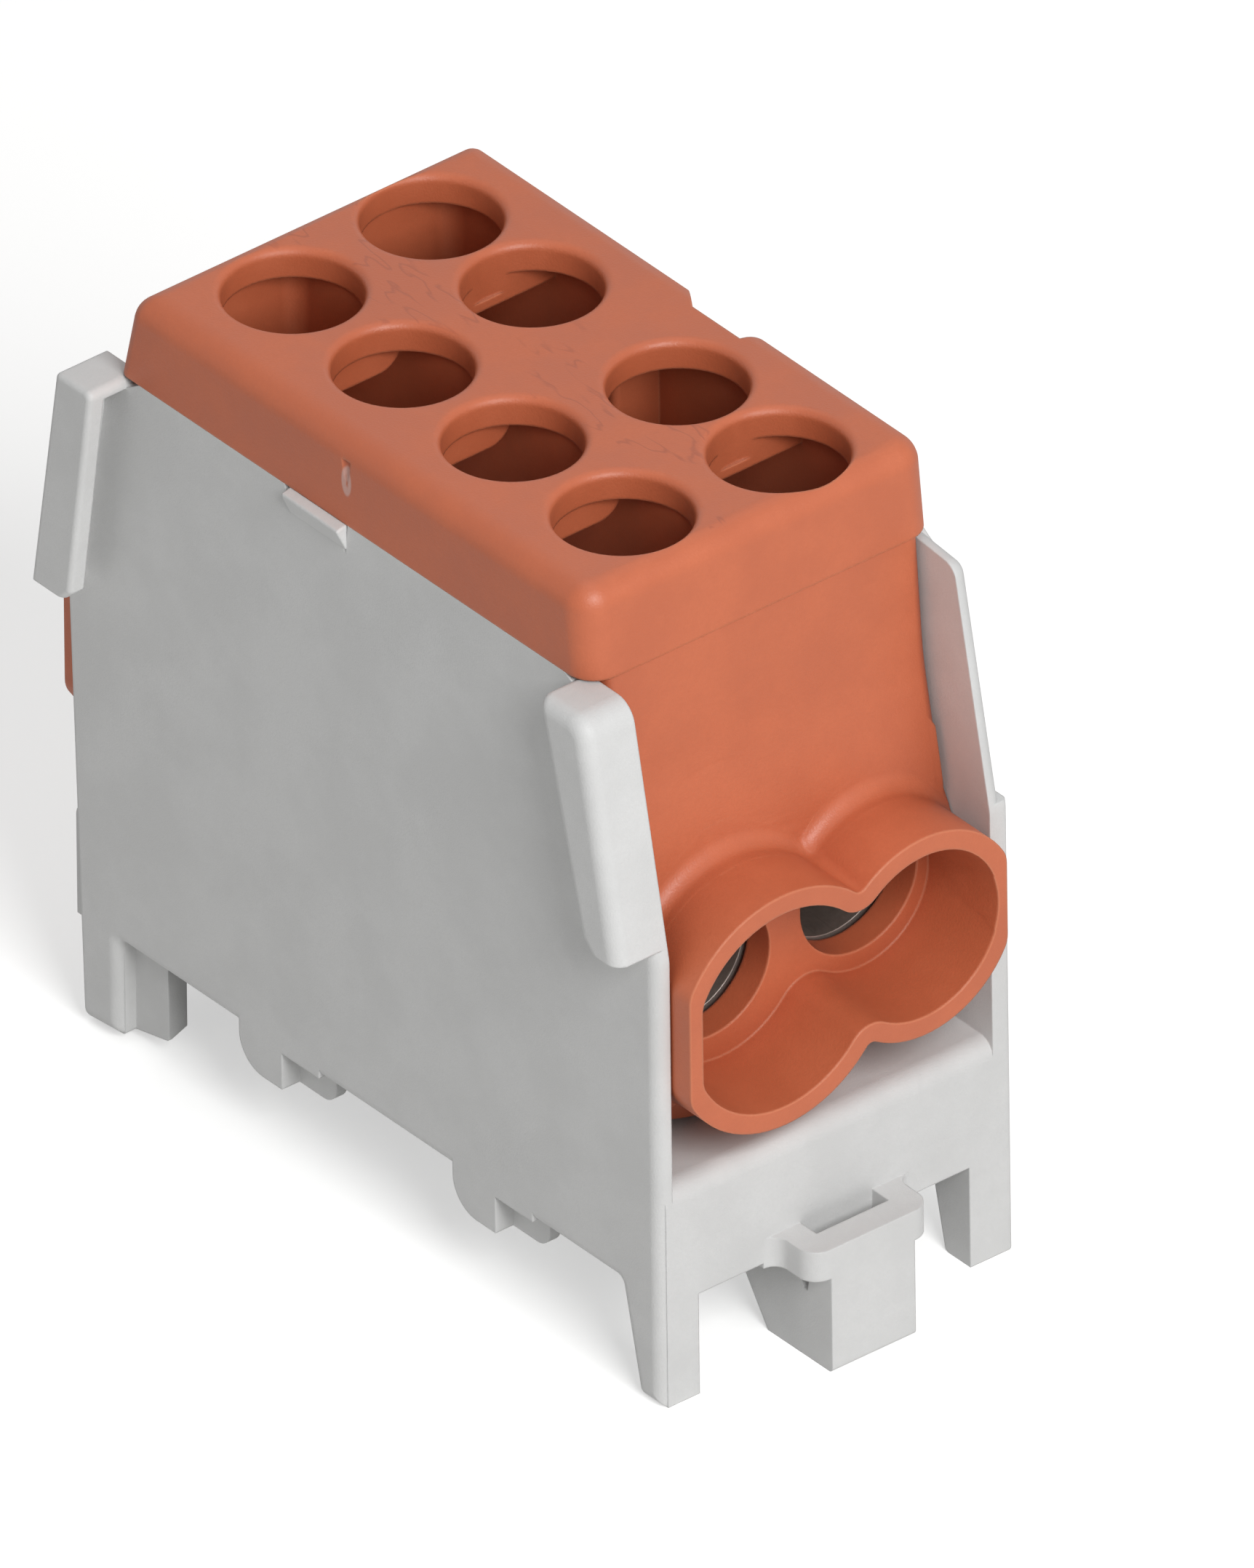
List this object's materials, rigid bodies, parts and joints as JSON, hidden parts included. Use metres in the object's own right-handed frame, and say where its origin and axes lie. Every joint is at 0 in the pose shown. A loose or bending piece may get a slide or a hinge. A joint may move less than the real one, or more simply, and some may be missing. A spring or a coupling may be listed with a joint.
{
  "type": "rail-mounted junction terminal block",
  "caption": "One-pole junction terminal block for a 35 mm rail: grey base, copper-orange hood with screwdriver holes, figure-eight cable funnel at each end, spring catch.",
  "frame": {"origin": "on the rail seat, in the middle of the housing's width, over the rail's centre line", "axes": "+Z away from the rail, -Y towards the end with the spring catch, X along the rail"},
  "size_m": [0.0243, 0.0492, 0.0446],
  "materials": {
    "grey_plastic": "fine grained, satin",
    "orange_plastic": "fine grained, satin",
    "terminal_metal": "tin plated",
    "screw_steel": "zinc plated"
  },
  "bodies": {
    "block": {"base_housing": "grey_plastic", "hood": "orange_plastic", "terminal_block": "terminal_metal"},
    "screw_a1": {"clamp_screw_a1": "screw_steel"},
    "screw_a2": {"clamp_screw_a2": "screw_steel"},
    "screw_a3": {"clamp_screw_a3": "screw_steel"},
    "screw_a4": {"clamp_screw_a4": "screw_steel"},
    "screw_b1": {"clamp_screw_b1": "screw_steel"},
    "screw_b2": {"clamp_screw_b2": "screw_steel"},
    "screw_b3": {"clamp_screw_b3": "screw_steel"},
    "screw_b4": {"clamp_screw_b4": "screw_steel"}
  },
  "joints": [
    {"name": "clamp_screw_a1_travel", "type": "slide", "parent": "block", "child": "screw_a1", "axis": [0, 0, -1], "range_m": [0, 0.0062]},
    {"name": "clamp_screw_a2_travel", "type": "slide", "parent": "block", "child": "screw_a2", "axis": [0, 0, -1], "range_m": [0, 0.0062]},
    {"name": "clamp_screw_a3_travel", "type": "slide", "parent": "block", "child": "screw_a3", "axis": [0, 0, -1], "range_m": [0, 0.0062]},
    {"name": "clamp_screw_a4_travel", "type": "slide", "parent": "block", "child": "screw_a4", "axis": [0, 0, -1], "range_m": [0, 0.0062]},
    {"name": "clamp_screw_b1_travel", "type": "slide", "parent": "block", "child": "screw_b1", "axis": [0, 0, -1], "range_m": [0, 0.0062]},
    {"name": "clamp_screw_b2_travel", "type": "slide", "parent": "block", "child": "screw_b2", "axis": [0, 0, -1], "range_m": [0, 0.0062]},
    {"name": "clamp_screw_b3_travel", "type": "slide", "parent": "block", "child": "screw_b3", "axis": [0, 0, -1], "range_m": [0, 0.0062]},
    {"name": "clamp_screw_b4_travel", "type": "slide", "parent": "block", "child": "screw_b4", "axis": [0, 0, -1], "range_m": [0, 0.0062]}
  ]
}
